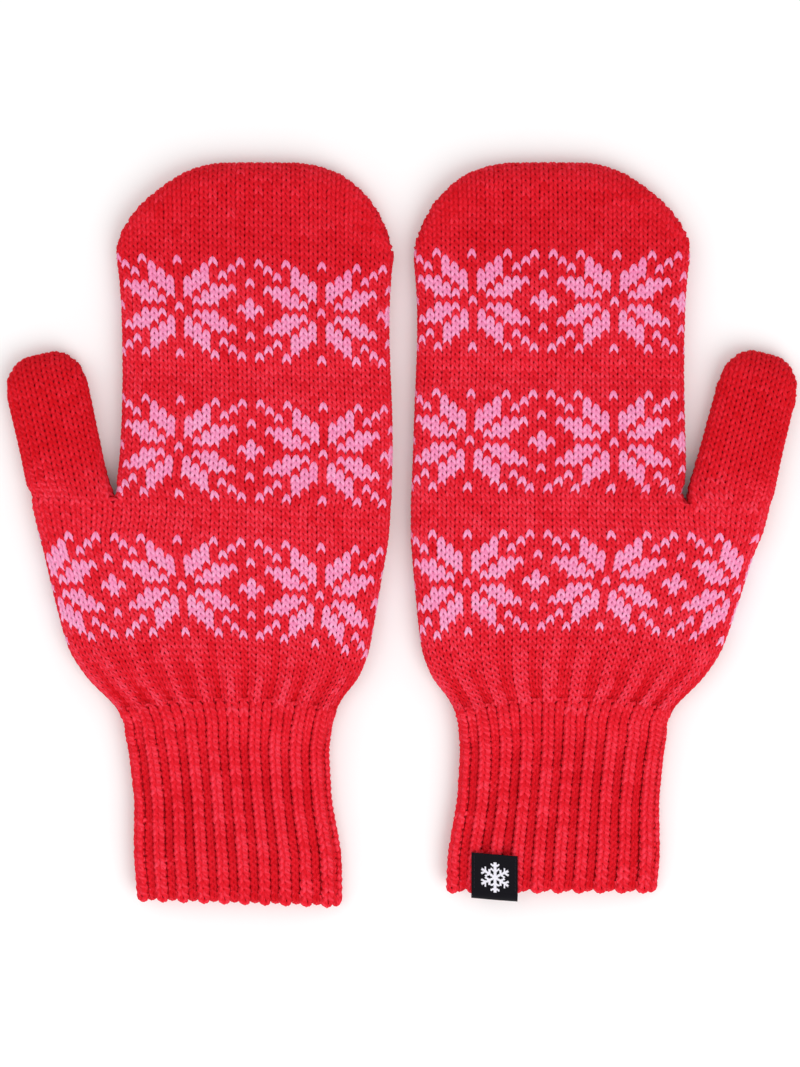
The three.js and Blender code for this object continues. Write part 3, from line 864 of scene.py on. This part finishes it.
def shell_piece(name, made):
    """The back of the fabric: a closed wall behind the yarn."""
    points, normals = made["points"], made["normals"]
    row_count, count = points.shape[:2]
    layers = np.stack([points + normals * BACK_OUTER, points + normals * BACK_INNER])
    index = np.arange(2 * row_count * count).reshape(2, row_count, count)
    outer, inner = index
    faces = [
        ring_quads(outer[:-1], outer[1:]),
        ring_quads(inner[1:], inner[:-1]),
        ring_quads(inner[0], outer[0]),
    ]
    if made["closed"]:
        faces += [tip_quads(outer[-1]), tip_quads(inner[-1])[:, ::-1]]
    else:
        faces.append(ring_quads(outer[-1], inner[-1]))
    faces = np.concatenate(faces)
    layer, r, c = np.unravel_index(faces, index.shape)
    c = np.where((c == 0) & (c.max(1, keepdims=True) > count // 2 + 1), count, c)
    uv = np.stack([c / count, (r / (row_count - 1) * LAYER_FILL + layer / 2)], -1)
    knit = np.stack([c / made["steps"], r / made["steps"]], -1)
    return mesh_from(name, layers.reshape(-1, 3), faces, uv.reshape(-1, 2), knit.reshape(-1, 2))


# ---- Materials ----


def linear(colour):
    """A colour written as sRGB from 0 to 255, as Blender's linear values."""
    values = []
    for channel in colour:
        share = channel / 255
        values.append(share / 12.92 if share <= 0.04045 else ((share + 0.055) / 1.055) ** 2.4)
    return (*values, 1.0)


class Nodes:
    def __init__(self, name, roughness, sheen=0.0, specular=0.3):
        self.material = bpy.data.materials.new(name)
        self.material.use_nodes = True
        self.tree = self.material.node_tree
        self.shader = self.tree.nodes["Principled BSDF"]
        self.shader.inputs["Roughness"].default_value = roughness
        self.shader.inputs["Specular IOR Level"].default_value = specular
        self.shader.inputs["Sheen Weight"].default_value = sheen
        self.shader.inputs["Sheen Roughness"].default_value = 0.45

    def add(self, kind, **settings):
        node = self.tree.nodes.new(kind)
        for key, value in settings.items():
            setattr(node, key, value)
        return node

    def link(self, source, target):
        self.tree.links.new(source, target)

    def fed(self, target, value):
        if isinstance(value, bpy.types.NodeSocket):
            self.link(value, target)
        else:
            target.default_value = value

    def math(self, operation, a, b=0.0):
        node = self.add("ShaderNodeMath", operation=operation)
        self.fed(node.inputs[0], a)
        self.fed(node.inputs[1], b)
        return node.outputs[0]

    def attribute(self, name):
        return self.add("ShaderNodeAttribute", attribute_name=name)

    def noise(self, vector, scale, detail=3.0):
        node = self.add("ShaderNodeTexNoise")
        self.link(vector, node.inputs["Vector"])
        node.inputs["Scale"].default_value = scale
        node.inputs["Detail"].default_value = detail
        return node.outputs["Fac"]

    def mix(self, share, a, b):
        node = self.add("ShaderNodeMix", data_type="RGBA")
        self.fed(node.inputs["Factor"], share)
        self.fed(node.inputs["A"], a)
        self.fed(node.inputs["B"], b)
        return node.outputs["Result"]

    def range(self, value, low, high):
        """A value from low to high as a share from 0 to 1."""
        node = self.add("ShaderNodeMapRange")
        self.link(value, node.inputs["Value"])
        node.inputs["From Min"].default_value = low
        node.inputs["From Max"].default_value = high
        return node.outputs["Result"]

    def weighted(self, *terms):
        """The sum of values, each times its weight."""
        total = None
        for value, weight in terms:
            part = self.math("MULTIPLY", value, weight)
            total = part if total is None else self.math("ADD", total, part)
        return total

    def place(self):
        return self.add("ShaderNodeTexCoord").outputs["Object"]

    def paint(self, shade, limits, deep, bright):
        self.link(self.mix(self.range(shade, *limits), deep, bright), self.shader.inputs["Base Color"])

    def cells(self):
        """Column and row in the knit, or place on the label."""
        split = self.add("ShaderNodeSeparateXYZ")
        self.link(self.add("ShaderNodeUVMap", uv_map="Lattice").outputs[0], split.inputs[0])
        return split.outputs[0], split.outputs[1]

    def vector(self, *values):
        node = self.add("ShaderNodeCombineXYZ")
        for socket, value in zip(node.inputs, values):
            self.link(value, socket)
        return node.outputs[0]

    def bump(self, height, distance, before=None):
        node = self.add("ShaderNodeBump")
        node.inputs["Strength"].default_value = 1
        node.inputs["Distance"].default_value = distance
        self.link(height, node.inputs["Height"])
        if before is not None:
            self.link(before, node.inputs["Normal"])
        return node.outputs["Normal"]


def yarn_material(name, bright, middle, deep):
    """Two-ply yarn: twisted strands, fine fibres along them, and slow changes of shade over the fabric."""
    n = Nodes(name, roughness=0.9, sheen=0.12, specular=0.15)
    split = n.add("ShaderNodeSeparateXYZ")
    n.link(n.attribute("strand").outputs["Vector"], split.inputs[0])
    cosine, sine, distance = split.outputs
    ply = n.math("SINE", n.weighted((n.math("ARCTAN2", sine, cosine), 2.0), (distance, PLY_TWIST)))
    ply_height = n.range(ply, -1, 1)
    scales = ((cosine, FIBRE_ACROSS), (sine, FIBRE_ACROSS), (distance, FIBRE_ALONG))
    lie = n.vector(*(n.math("MULTIPLY", value, scale) for value, scale in scales))
    shifted = n.add("ShaderNodeVectorMath", operation="MULTIPLY_ADD")
    n.link(n.place(), shifted.inputs[0])
    shifted.inputs[1].default_value = FIBRE_SPREAD
    n.link(lie, shifted.inputs[2])
    fibres = n.noise(shifted.outputs[0], FIBRE_SCALE, 4.0)
    patches = n.noise(n.place(), PATCH_SCALE, 2.0)
    tone = n.attribute("tone").outputs["Fac"]
    shade = n.weighted(
        (fibres, FIBRE_WEIGHT), (patches, PATCH_WEIGHT), (tone, TONE_WEIGHT), (ply_height, PLY_WEIGHT)
    )
    colour = n.mix(n.range(shade, *DEEP_TO_MIDDLE), linear(deep), linear(middle))
    n.paint(shade, MIDDLE_TO_BRIGHT, colour, linear(bright))
    n.shader.inputs["Sheen Tint"].default_value = linear(bright)
    soft = n.bump(ply_height, PLY_BUMP)
    n.link(n.bump(fibres, FIBRE_BUMP, before=soft), n.shader.inputs["Normal"])
    return n.material


def lining_material(name, bright, deep):
    """The back of knitted fabric: wavy ridges, one to each row, that rise and fall with the columns."""
    n = Nodes(name, roughness=0.95, sheen=0.15, specular=0.15)
    column, row = n.cells()
    wave = n.math("COSINE", n.math("MULTIPLY", column, 2 * math.pi))
    ridge = n.range(n.math("SINE", n.weighted((row, 2 * math.pi), (wave, RIDGE_WAVE))), -1, 1)
    fine = n.noise(n.place(), 1800.0)
    shade = n.weighted((ridge, 0.7), (fine, 0.4))
    n.paint(shade, (0.2, 0.95), linear(deep), linear(bright))
    ridges = n.bump(ridge, RIDGE_BUMP)
    n.link(n.bump(fine, FINE_BUMP, before=ridges), n.shader.inputs["Normal"])
    return n.material


def woven_material(name, colour, deep):
    """Woven tape: small squares of warp and weft."""
    n = Nodes(name, roughness=0.8, specular=0.12)
    waves = [n.math("SINE", n.math("MULTIPLY", place, math.pi / CELL)) for place in n.cells()]
    weave = n.range(n.math("MULTIPLY", *waves), -1, 1)
    shade = n.weighted((weave, 0.6), (n.noise(n.place(), 2500.0), 0.5))
    n.paint(shade, (0.1, 1.0), linear(deep), linear(colour))
    n.link(n.bump(shade, WEAVE_BUMP), n.shader.inputs["Normal"])
    return n.material


def floor_material():
    n = Nodes("pale_floor", roughness=0.8, specular=0.1)
    n.paint(n.noise(n.place(), 30.0), (0, 1), (0.93, 0.93, 0.93, 1), (0.96, 0.96, 0.96, 1))
    return n.material


RED = yarn_material("red_yarn", (255, 84, 108), (248, 40, 60), (218, 8, 24))
CUFF_RED = yarn_material("rib_yarn", (255, 78, 100), (246, 36, 54), (214, 8, 24))
PINK = yarn_material("pink_yarn", (255, 192, 226), (255, 166, 206), (254, 138, 186))
THREAD = yarn_material("black_thread", (70, 66, 78), (38, 34, 44), (16, 14, 20))
LINING = lining_material("knit_back", (238, 24, 42), (210, 12, 28))


def dress(piece, material):
    piece.data.materials.clear()
    piece.data.materials.append(material)
    return piece


# ---- One mitten ----


def attach(piece, side, part):
    """Moves a piece with the palm; a piece of any other part only has its place written into its points.
    """
    palm = f"{side}_palm"
    if part == "palm":
        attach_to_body(piece, palm)
        return
    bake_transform(piece)


def knit(side, part, made, stitches, pink, shade):
    """The yarn of one tube, split by colour, by front and back, and into pieces of a fair size."""
    stitches = {**stitches, "shade": shade}
    columns = stitches["column"].max() + 1
    front = stitches["column"] < columns // 2
    pieces = []
    for face, mask, (segments, sides) in (("front", front, FRONT), ("back", ~front, BACK)):
        for colour, of_colour in (("ground", ~pink), ("pattern", pink)):
            picked = chosen(stitches, mask & of_colour)
            count = len(picked["c"])
            if count == 0:
                continue
            order = np.argsort(picked["row"], kind="stable")
            for number, index in enumerate(np.array_split(order, math.ceil(count / MOST_STITCHES))):
                name = f"{side}_{part}_{colour}_{face}_{number + 1}"
                group = chosen(picked, index)
                seed = len(name) + number
                piece = yarn_piece(name, made, group, PLAIN_LOOP, segments, sides, seed, group["shade"])
                if colour == "pattern":
                    dress(piece, PINK)
                else:
                    dress(piece, RED)
                attach(piece, side, part)
                pieces.append(piece)
    return pieces


def lining(side, part, made):
    piece = dress(shell_piece(f"{side}_{part}_back_of_fabric", made), LINING)
    attach(piece, side, part)
    return piece


def hem_wraps(side, made):
    """The cast-off edge: yarn wrapped round the fabric's rim from the outside to the inside."""
    columns = []
    for column in range(2 * CUFF_COLUMNS):
        wraps = WRAPS_ON_FURROW if column % 2 else WRAPS_ON_RIB
        columns += [column + (k + 0.5) / wraps for k in range(wraps)]
    columns = np.array(columns)
    step = 1 / WRAP_SEGMENTS
    t = np.arange(-1, WRAP_SEGMENTS + 2) * step
    straight = (1 - WRAP_TURN) / 2
    angle = math.pi * np.clip((t - straight) / WRAP_TURN, 0, 1)
    deep, out = WRAP_DEPTH * (np.cos(angle) - 1), WRAP_REACH * np.sin(angle)
    legs = WRAP_LEG * np.maximum(np.abs(t - 0.5) - WRAP_TURN / 2, 0) / straight
    rows = np.zeros((len(columns), len(t)))
    leaning = columns[:, None] + WRAP_LEAN * (t - 0.5)
    points, normals, _ = sample(made, rows, leaning)
    inward, _, _ = sample(made, rows + 1, leaning)
    up = inward - points
    up /= np.linalg.norm(up, axis=-1)[..., None]
    centre = points + normals * (deep + WRAP_LIFT)[:, None] + up * (legs - out)[:, None]
    outward = -up * np.sin(angle)[:, None] + normals * np.cos(angle)[:, None]
    radius = np.full((len(columns), WRAP_SEGMENTS + 1), WRAP_RADIUS)
    jitter = np.random.default_rng(WRAP_SEED).normal(0, 1, len(columns))
    tone = EVEN_SHADE + WRAP_SHADE_JITTER * jitter
    piece = tubes_mesh(f"{side}_cast_off_edge", centre, outward, radius, WRAP_SIDES, tone)
    dress(piece, CUFF_RED)
    attach(piece, side, "cuff")
    return piece


def make_hand(side, made):
    mitten = MITTENS[side]
    turn = mitten["turn"]
    hand = with_dome(lattice(2 * HAND_COLUMNS, STRAIGHT_ROWS, turn), made, 2 * HAND_COLUMNS, turn)
    pink = np.zeros(len(hand["c"]), bool)
    for star_row in mitten["star_rows"]:
        pink |= is_pink(hand["column"], hand["row"], STAR_COLUMN, star_row)
    # Painted shade: the hand's yarn is painted darker over the tip.
    tip_shading_weight = smooth((hand["row"] - TIP_PAINTED_SHADE_START) / TIP_PAINTED_SHADE_ROWS)
    return knit(side, "hand", made, hand, pink, PLAIN_SHADE - TIP_PAINTED_SHADE * tip_shading_weight)


def make_palm(side, made):
    mitten = MITTENS[side]
    palm = lattice(2 * PALM_COLUMNS, PALM_ROWS, mitten["turn"])
    shift = THUMB_SIDE_COLUMNS if mitten["thumb_side"] < 0 else 0
    pink = is_pink(palm["column"], palm["row"], STAR_COLUMN + shift, mitten["palm_star_row"])
    # Painted shading along the pleats: columns on their crests are painted lighter and those between them
    # darker, fading out over the rows above the wrist.
    wave = np.cos(math.pi * ((palm["c"] + mitten["palm_turn"]) / 2 - RIB_SHARE))
    pleat_shading_weight = smooth(1 - palm["row"] / PLEAT_PAINTED_SHADING_ROWS)
    shade = EVEN_SHADE + PLEAT_PAINTED_SHADING * pleat_shading_weight * (wave - PLEAT_PAINTED_SHADING_MIDDLE)
    return knit(side, "palm", made, palm, pink, shade)


def make_thumb(side, made):
    thumb = with_dome(lattice(2 * THUMB_COLUMNS, THUMB_ROWS), made, 2 * THUMB_COLUMNS, 0)
    none = np.zeros(len(thumb["c"]), bool)
    # Painted shade: darker from the thumb's root towards its tip.
    shade = PLAIN_SHADE - THUMB_PAINTED_SHADE * smooth(thumb["row"] / THUMB_PAINTED_SHADE_ROWS)
    return knit(side, "thumb", made, thumb, none, shade)


def make_cuff(side, made):
    cuff = lattice(2 * CUFF_COLUMNS, CUFF_ROWS)
    ribs = cuff["column"] % 2 == 0
    pieces = []
    # Painted highlight on the ribs and painted shade in the furrows, strongest towards the hem and fading
    # out near the wrist.
    for kind, mask, loop, tone in (
        ("rib", ribs, RIB_LOOP, RIB_PAINTED_HIGHLIGHT), ("furrow", ~ribs, FURROW_LOOP, FURROW_PAINTED_SHADE)
    ):
        picked = chosen(cuff, mask)
        shade = mixed(EVEN_SHADE, tone, smooth((CUFF_ROWS - picked["row"]) / RIB_AND_FURROW_PAINTED_ROWS))
        piece = yarn_piece(
            f"{side}_cuff_{kind}_stitches", made, picked, loop, *FRONT, CUFF_SEED, shade
        )
        dress(piece, CUFF_RED)
        attach(piece, side, "cuff")
        pieces.append(piece)
    return pieces


def make_mitten(side):
    tubes = make_tubes(side)
    made = {
        "hand": make_hand(side, tubes["hand"]),
        "palm": make_palm(side, tubes["palm"]),
        "thumb": make_thumb(side, tubes["thumb"]),
        "cuff": make_cuff(side, tubes["cuff"]),
    }
    edge = hem_wraps(side, tubes["cuff"])
    for part, pieces in made.items():
        pieces.append(lining(side, part, tubes[part]))
    nodes = {"hand": "fingers", "palm": "palm", "thumb": "thumb", "cuff": "cuff"}
    for part, pieces in made.items():
        for piece in pieces:
            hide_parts(f"{side}_{nodes[part]}")
    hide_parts(f"{side}_cuff_edge")
    return tubes["outline"]


# ---- The label ----


def roof(outline, x, y):
    """Height of the top of the cuff's ribs."""
    middle, half_width, top = outline.at(y)
    across = np.clip(np.abs(x - middle) / (half_width + INSET), 0, 1)
    shape = (1 - across**CROWN_POWER) ** (1 / CROWN_POWER)
    return top * WAIST + top * (1 - WAIST) * shape


def on_snowflake(p, q):
    """Whether points of the label, measured from its middle, lie on a plain six-armed snowflake."""
    found = np.zeros(np.broadcast(p, q).shape, bool)
    for number in range(6):
        angle = math.pi * (number / 3 + 1 / 6)
        out = p * math.cos(angle) + q * math.sin(angle)
        aside = np.abs(q * math.cos(angle) - p * math.sin(angle))
        found |= (out > 0) & (out < ARM) & (aside < ARM_HALF_WIDTH)
        for start in BARB_AT:
            along = (out - start) * 0.5 + aside * math.sin(math.pi / 3)
            off = np.abs((out - start) * math.sin(math.pi / 3) - aside * 0.5)
            found |= (along > 0) & (along < BARB_LENGTH) & (off < ARM_HALF_WIDTH * BARB_THINNING)
    return found


def label_path(outline, x, middle_x, fold_s, top_s):
    """The label's middle line in the y-z plane at one x, from its top edge round the hem and inside."""
    drop = LABEL_TILT * (x - middle_x)
    front_s = np.arange(top_s, fold_s + LABEL_BEND, -CELL)
    front_y = front_s - drop
    steady_y = np.maximum(front_y, fold_s + LABEL_STEADY - drop)
    front_z = roof(outline, x, steady_y) + LABEL_LIFT
    turn = np.linspace(0, math.pi, LABEL_BEND_STEPS)[1:]
    bend_y = fold_s + LABEL_BEND - drop
    outer = front_z[-1]
    inner = outer - LABEL_LIFT - LABEL_INSIDE
    bend = [bend_y - LABEL_BEND * np.sin(turn), (outer + inner) / 2 + (outer - inner) / 2 * np.cos(turn)]
    back_y = bend_y + np.arange(CELL, LABEL_BACK, CELL)
    back_z = inner + LABEL_BACK_RISE * (back_y - bend_y)
    y = np.concatenate([front_y, bend[0], back_y])
    return np.stack([y, np.concatenate([front_z, bend[1], back_z])], -1), len(front_s)


def make_label(outline):
    low, high = node_box("label")
    middle_x = (low[0] + high[0]) / 2
    columns = np.linspace(low[0], high[0], int((high[0] - low[0]) / CELL) + 1)
    slant = LABEL_TILT * (high[0] - low[0]) / 2
    fold_s, top_s = low[1] + slant, high[1] - slant
    ribs = [label_path(outline, x, middle_x, fold_s, top_s) for x in columns]
    front_count = ribs[0][1]
    grid = np.empty((len(ribs[0][0]), len(columns), 3))
    grid[:, :, 0] = columns
    for number, (path, _) in enumerate(ribs):
        grid[:, number, 1:] = path
    ripple = RIPPLE * np.cos(2 * math.pi * (columns - low[0]) / RIPPLE_LENGTH)
    grid[:front_count, :, 2] += ripple
    along = np.gradient(grid, axis=0)
    normal = np.cross(np.gradient(grid, axis=1), -along)
    normal /= np.linalg.norm(normal, axis=-1)[..., None]
    layers = np.stack([grid + normal * LABEL_THICKNESS / 2, grid - normal * LABEL_THICKNESS / 2])
    index = np.arange(layers[..., 0].size).reshape(layers.shape[:3])
    over, under = index
    faces = [
        strip_quads(over[1:], over[:-1]),
        strip_quads(under[:-1], under[1:]),
        strip_quads(over[0], under[0]),
        strip_quads(under[-1], over[-1]),
        strip_quads(under[:, 0], over[:, 0]),
        strip_quads(over[:, -1], under[:, -1]),
    ]
    top_faces = len(faces[0])
    faces = np.concatenate(faces)
    layer, r, c = np.unravel_index(faces, index.shape)
    uv = np.stack([c / len(columns) * LAYER_FILL + layer / 2, r / grid.shape[0]], -1)
    knit = np.stack([c, r], -1) * CELL
    piece = mesh_from("woven_label", layers.reshape(-1, 3), faces, uv.reshape(-1, 2), knit.reshape(-1, 2))
    r, c = np.divmod(np.arange(top_faces), len(columns) - 1)
    p = (c + 0.5) * CELL - (high[0] - low[0]) / 2
    q = (top_s - fold_s) / 2 - (r + 0.5) * CELL
    white = on_snowflake(p, q) & (r < front_count - 1)
    kinds = np.zeros(len(faces), np.int32)
    kinds[:top_faces] = white
    dress(piece, woven_material("label_black", (20, 17, 25), (7, 6, 10)))
    piece.data.materials.append(woven_material("label_white", (248, 246, 252), (206, 202, 216)))
    piece.data.polygons.foreach_set("material_index", kinds)
    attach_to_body(piece, "right_cuff")
    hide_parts("label")
    return grid[:front_count]


def make_label_stitches(name, front):
    """A line of thread stitches down one side of the label."""
    low, high = node_box(name)
    x = (low[0] + high[0]) / 2
    count = int((high[1] - low[1]) / THREAD_PITCH)
    t = np.arange(-1, THREAD_SEGMENTS + 2) / THREAD_SEGMENTS
    y = high[1] - THREAD_PITCH * np.arange(count)[:, None] - THREAD_STITCH * t
    column = int(np.argmin(np.abs(front[0, :, 0] - x)))
    surface = np.interp(y, front[::-1, column, 1], front[::-1, column, 2])
    arch = THREAD_ARCH * np.sin(math.pi * np.clip(t, 0, 1)) - THREAD_SINK
    centre = np.stack([np.full(y.shape, x), y, surface + LABEL_THICKNESS / 2 + arch], -1)
    normal = np.broadcast_to(np.array([0.0, 0, 1]), centre.shape)
    radius = np.full((count, THREAD_SEGMENTS + 1), THREAD_RADIUS)
    tone = np.full(count, EVEN_SHADE)
    piece = tubes_mesh(f"{name}_thread", centre, normal, radius, THREAD_SIDES, tone)
    dress(piece, THREAD)
    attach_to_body(piece, "right_cuff")
    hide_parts(name)


outlines = {side: make_mitten(side) for side in MITTENS}
label_front = make_label(outlines["right"])
for stitch_line in ("label_stitches_left", "label_stitches_right"):
    make_label_stitches(stitch_line, label_front)

# ---- Floor, light and camera ----


def make_floor():
    half, below = 10000, 0.3
    corners = [(-half, -half, -below), (half, -half, -below), (half, half, -below), (-half, half, -below)]
    floor = mesh_from("floor", np.array(corners), np.array([[0, 1, 2, 3]]))
    floor.data.materials.append(floor_material())


def make_light(name, place_at, target, size, power):
    data = bpy.data.lights.new(name, "AREA")
    data.shape = "DISK"
    data.size = size
    data.energy = power
    made = bpy.data.objects.new(name, data)
    made.location = place_at
    made.rotation_euler = (Vector(target) - Vector(place_at)).to_track_quat("-Z", "Y").to_euler()
    bpy.context.scene.collection.objects.link(made)


def make_world(brightness):
    world = bpy.data.worlds.new("studio")
    world.use_nodes = True
    background = world.node_tree.nodes["Background"]
    background.inputs["Color"].default_value = (1, 1, 1, 1)
    background.inputs["Strength"].default_value = brightness
    bpy.context.scene.world = world


def make_camera():
    data = bpy.data.cameras.new("camera")
    data.lens = CAMERA_LENS
    data.sensor_width = CAMERA_SENSOR
    made = bpy.data.objects.new("camera", data)
    above = FRAMED_HEIGHT * data.lens / data.sensor_width
    made.location = (0, CAMERA_Y * MM, (FRAMED_Z + above) * MM)
    bpy.context.scene.collection.objects.link(made)
    bpy.context.scene.camera = made


make_floor()
make_world(WORLD_BRIGHTNESS)
for light in LIGHTS:
    make_light(*light)
make_camera()
bpy.context.scene.view_settings.view_transform = "Standard"
